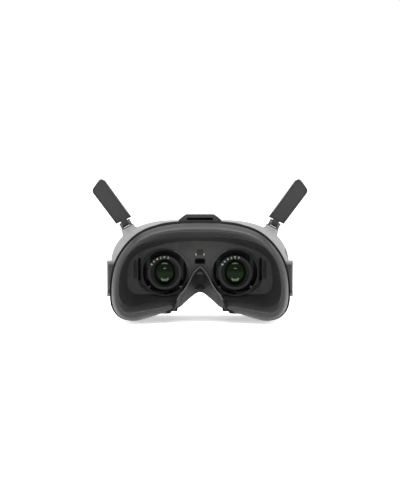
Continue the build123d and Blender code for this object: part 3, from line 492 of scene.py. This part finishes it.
def baffle(side, sign):
    """Stepped funnel between the nose tube's end and the oval aperture."""
    steps = [(12.75, 12.75, -14.6), (12.2, 12.5, -14.6), (12.2, 12.5, -14.0), (11.7, 12.3, -14.0),
             (11.7, 12.3, -13.4), (11.1, 12.1, -13.4), (11.1, 12.1, -12.8), (10.4, 11.9, -12.8),
             (10.4, 11.9, -12.2), (9.8, 11.6, -12.2)]
    rows = []
    count = 96
    for half_w, half_h, y in steps:
        rows.append([
            (sign * EYE_X + half_w * cos(2 * pi * k / count), y, EYE_Z + half_h * sin(2 * pi * k / count))
            for k in range(count)
        ])
    verts, faces = grid(rows, wrap_u=True)
    piece = mesh_object(f"eye_baffle_{side}", verts, faces, "ring", f"eye_carriage_{side}", smooth=False)


for side, sign in SIDES:
    dial(side, sign)
    baffle(side, sign)

# ------------------------------------------------------------------ panel details
def disc_arc(name, centre, radii, angles, y_back, y_front, look, body):
    """Flat ring sector with a thickness, angles clockwise from the top as seen from behind."""
    rows = []
    for k in range(angles[2] + 1):
        turn = radians(angles[0] + (angles[1] - angles[0]) * k / angles[2])
        row = []
        for radius, y in ((radii[0], y_front), (radii[0], y_back), (radii[1], y_back), (radii[1], y_front)):
            row.append((centre[0] + radius * sin(turn), y, centre[1] + radius * cos(turn)))
        rows.append(row)
    verts, faces = grid(rows, wrap_u=True)
    last = len(rows) - 1
    faces.append((0, 1, 2, 3))
    faces.append(tuple(4 * last + c for c in (3, 2, 1, 0)))
    piece = mesh_object(name, verts, faces, look, body, smooth=False)
    return piece


def plate(name, outline, y_back, y_front, look, body, edge=0.25):
    """Flat plate from an X Z outline in millimetres, with a small bevel."""
    count = len(outline)
    verts = [(x, y_back, z) for x, z in outline] + [(x, y_front, z) for x, z in outline]
    faces = [tuple(range(count)), tuple(range(count, 2 * count))[::-1]]
    faces += [(i, i + count, (i + 1) % count + count, (i + 1) % count) for i in range(count)]
    piece = mesh_object(name, verts, faces, look, body, smooth=False)
    cleaned = bmesh.new()
    cleaned.from_mesh(piece.data)
    bmesh.ops.recalc_face_normals(cleaned, faces=cleaned.faces)
    cleaned.to_mesh(piece.data)
    cleaned.free()
    bevel = piece.modifiers.new("bevel", "BEVEL")
    bevel.width = edge * MM
    bevel.segments = 2
    apply_modifiers(piece)
    return piece


def smooth_ridge(name, points, radius, look, body, flat):
    """Low rounded rib along points, pressed flat against the surface it lies on."""
    piece = tube(name, points, radius, look, body, ring=14)
    mean_y = sum(p[1] for p in points) / len(points) * MM
    for vert in piece.data.vertices:
        vert.co.y = mean_y + (vert.co.y - mean_y) * flat
    return piece


def panel_details():
    for side, sign in SIDES:
        # sweep of the raised cheek from the vent's foot to the underside of the lens well
        rib = [(54.6, -8.2, 37.2), (53.4, -8.4, 33.6), (49.6, -8.7, 30.4), (44.4, -9.0, 28.0),
               (38.6, -9.1, 26.6), (33.0, -9.0, 26.0)]
        curve = spline([(sign * x, y, z) for x, y, z in rib], 40)
        smooth_ridge(f"cheek_rib_{side}", curve, 1.15, "panel", ROOT, flat=0.9)
        # knurled bead on the nose side of each lens well; its teeth are relief, and their lighter grey, only
        # on the upper nose-side arc, is a painted highlight
        well = (sign * EYE_X, EYE_Z)
        teeth = []
        for k in range(26):
            start = -sign * (22 + 2.2 * k)
            teeth.append(disc_arc(f"k{side}{k}", well, (20.9, 21.7), (start, start - sign * 1.1, 2),
                                  -10.2, -9.4, "edge_highlight_paint", ROOT))
        join(f"well_knurl_highlight_{side}", teeth, ROOT)
    for sign in (-1, 1):
        half = [(3.1, 62.4), (3.9, 62.2), (4.2, 61.2), (3.9, 60.2), (3.1, 60.0)]
        mark = [(sign * x, z) for x, z in half]
        plate(f"sensor_mark_{'left' if sign < 0 else 'right'}", mark, -8.5, -7.9, "mark", ROOT,
              edge=0.12)


def lens_glints(side, sign):
    """Lighter patches laid just off the eye lens's back face, shaped as faces of inner lens elements: painted
    reflections of the lights.
    """
    body = f"lens_cell_{side}"
    x = sign * EYE_X

    def dome(px, pz):
        """Depth of the eye lens's back face at that place, just proud of it."""
        ball = (11.6 ** 2 + 2.4 ** 2) / 4.8
        across_r = hypot(px, pz)
        return -7.1 - 2.4 + ball - (ball ** 2 - across_r ** 2) ** 0.5 - 0.03

    shapes = {
        "high": [(-3.2, 7.3), (-1.8, 8.4), (0, 8.8), (1.8, 8.4), (3.2, 7.3), (1.5, 7.5), (-1.5, 7.5)],
        "low": [(-3.6, -5.2), (3.6, -5.2), (3.1, -7.2), (1.8, -8.2), (-1.8, -8.2), (-3.1, -7.2)],
        "mid": [(-1.5, 3.7), (1.3, 3.9), (1.5, 3.3), (-1.3, 3.1)],
    }
    parts = []
    for word, outline in shapes.items():
        centre = (sum(p[0] for p in outline) / len(outline), sum(p[1] for p in outline) / len(outline))
        rows = []
        for k in range(7):
            f = 0.02 + 0.98 * k / 6
            ring = [
                (centre[0] + (px - centre[0]) * f, centre[1] + (pz - centre[1]) * f) for px, pz in outline
            ]
            rows.append([(x + px, dome(px, pz), EYE_Z + pz) for px, pz in ring])
        verts, faces = grid(rows, wrap_u=True)
        parts.append(mesh_object(f"g{side}{word}", verts, faces, "glint", body))
    join(f"painted_lens_reflections_{side}", parts, body)


panel_details()
for side, sign in SIDES:
    lens_glints(side, sign)

# ------------------------------------------------------------------ strap loop and antennas, with painted edge highlights and painted shade
def strap_loop_painted_light():
    """Raised rim of the top strap loop in a lighter grey, a painted highlight, and a near-black plate behind
    its slot, painted shade.
    """
    edge = [(-19.6, 91.0), (-18.7, 92.9), (-15.6, 95.4), (-12.9, 97.3), (12.9, 97.3), (15.6, 95.4),
            (18.7, 92.9), (19.6, 91.0)]
    rim = []
    for a, b in zip(edge, edge[1:]):
        for k in range(6):
            f = k / 6
            rim.append((a[0] + (b[0] - a[0]) * f, -10.0, a[1] + (b[1] - a[1]) * f))
    rim.append((edge[-1][0], -10.0, edge[-1][1]))
    # rim bead in the lighter edge grey: painted highlight
    tube("strap_loop_highlight_rim", rim, 0.42, "edge_highlight_paint", ROOT)
    # near-black plate behind the slot: painted shade where the slot falls into shadow
    pad = [(-12.6, 92.0), (12.6, 92.0), (12.9, 93.4), (12.0, 94.9), (-12.0, 94.9), (-12.9, 93.4)]
    plate("strap_loop_shade_plate", pad, -6.4, -5.0, "near_black_and_painted_shade", ROOT)


def antenna_edge_highlight(side, sign):
    """Lighter bead down the inner side and over the tip of each paddle: a painted edge highlight."""
    body = f"antenna_{side}"
    run = [(66.0, 98.9), (74.6, 110.9), (83.4, 123.1), (85.6, 126.2), (87.2, 127.9), (89.6, 128.6),
           (91.6, 127.6), (94.2, 124.4), (96.4, 121.2)]
    line = spline([(sign * x, 1.55, z) for x, z in run], 60)
    tube(f"antenna_edge_{side}", line, 0.38, "antenna_edge_highlight", body)


strap_loop_painted_light()
for side, sign in SIDES:
    antenna_edge_highlight(side, sign)

# ------------------------------------------------------------------ studio
FLOOR_HALF, FLOOR_DROP, FLOOR_GLOW = 6, 0.00005, 0.45


def floor():
    corners = ((-1, -1), (1, -1), (1, 1), (-1, 1))
    verts = [(x * FLOOR_HALF, y * FLOOR_HALF, -FLOOR_DROP) for x, y in corners]
    data = bpy.data.meshes.new("floor")
    data.from_pydata(verts, [], [(0, 1, 2, 3)])
    piece = bpy.data.objects.new("floor", data)
    bpy.context.collection.objects.link(piece)
    mat = material("studio_floor", grey(0.90), grey(0.94), rough=0.8, grain_mm=2.0, bump=0.01, specular=0.1)
    shader = mat.node_tree.nodes["Principled BSDF"]
    shader.inputs["Emission Color"].default_value = (1, 1, 1, 1)
    shader.inputs["Emission Strength"].default_value = FLOOR_GLOW
    data.materials.append(mat)


def area_light(name, place, aim, wide, tall, watts):
    lamp = bpy.data.lights.new(name, "AREA")
    lamp.shape = "RECTANGLE"
    lamp.size = wide
    lamp.size_y = tall
    lamp.energy = watts
    holder = bpy.data.objects.new(name, lamp)
    holder.location = place
    holder.rotation_euler = (Vector(aim) - Vector(place)).to_track_quat("-Z", "Y").to_euler()
    bpy.context.collection.objects.link(holder)


floor()
world = bpy.data.worlds.new("studio")
bpy.context.scene.world = world
world.use_nodes = True
world.node_tree.nodes["Background"].inputs["Color"].default_value = (1, 1, 1, 1)
world.node_tree.nodes["Background"].inputs["Strength"].default_value = 1.06
area_light("key_top", (0, -0.10, 0.95), (0, -0.01, 0.06), 0.8, 0.5, 13.0)
area_light("strip_back", (0, -0.72, 0.66), (0, -0.01, 0.05), 0.55, 0.12, 2.5)
area_light("side_left", (-0.75, -0.25, 0.30), (0, -0.03, 0.05), 0.35, 0.5, 4.0)
area_light("side_right", (0.75, -0.25, 0.30), (0, -0.03, 0.05), 0.35, 0.5, 4.0)

camera_data = bpy.data.cameras.new("camera")
camera = bpy.data.objects.new("camera", camera_data)
bpy.context.collection.objects.link(camera)
bpy.context.scene.camera = camera
DISTANCE, ELEVATION = 3.0, radians(4.5)
VIEW_WIDTH = 0.3628                             # metres across the picture at the object
target = Vector((0, -0.010, 0.0653))
camera.location = target + DISTANCE * Vector((0, -cos(ELEVATION), sin(ELEVATION)))
camera.rotation_euler = (target - camera.location).to_track_quat("-Z", "Y").to_euler()
camera_data.sensor_fit = "HORIZONTAL"
camera_data.sensor_width = 36.0
camera_data.lens = camera_data.sensor_width * DISTANCE / VIEW_WIDTH
camera_data.clip_end = 30
bpy.context.scene.view_settings.view_transform = "Standard"

bpy.context.view_layer.update()
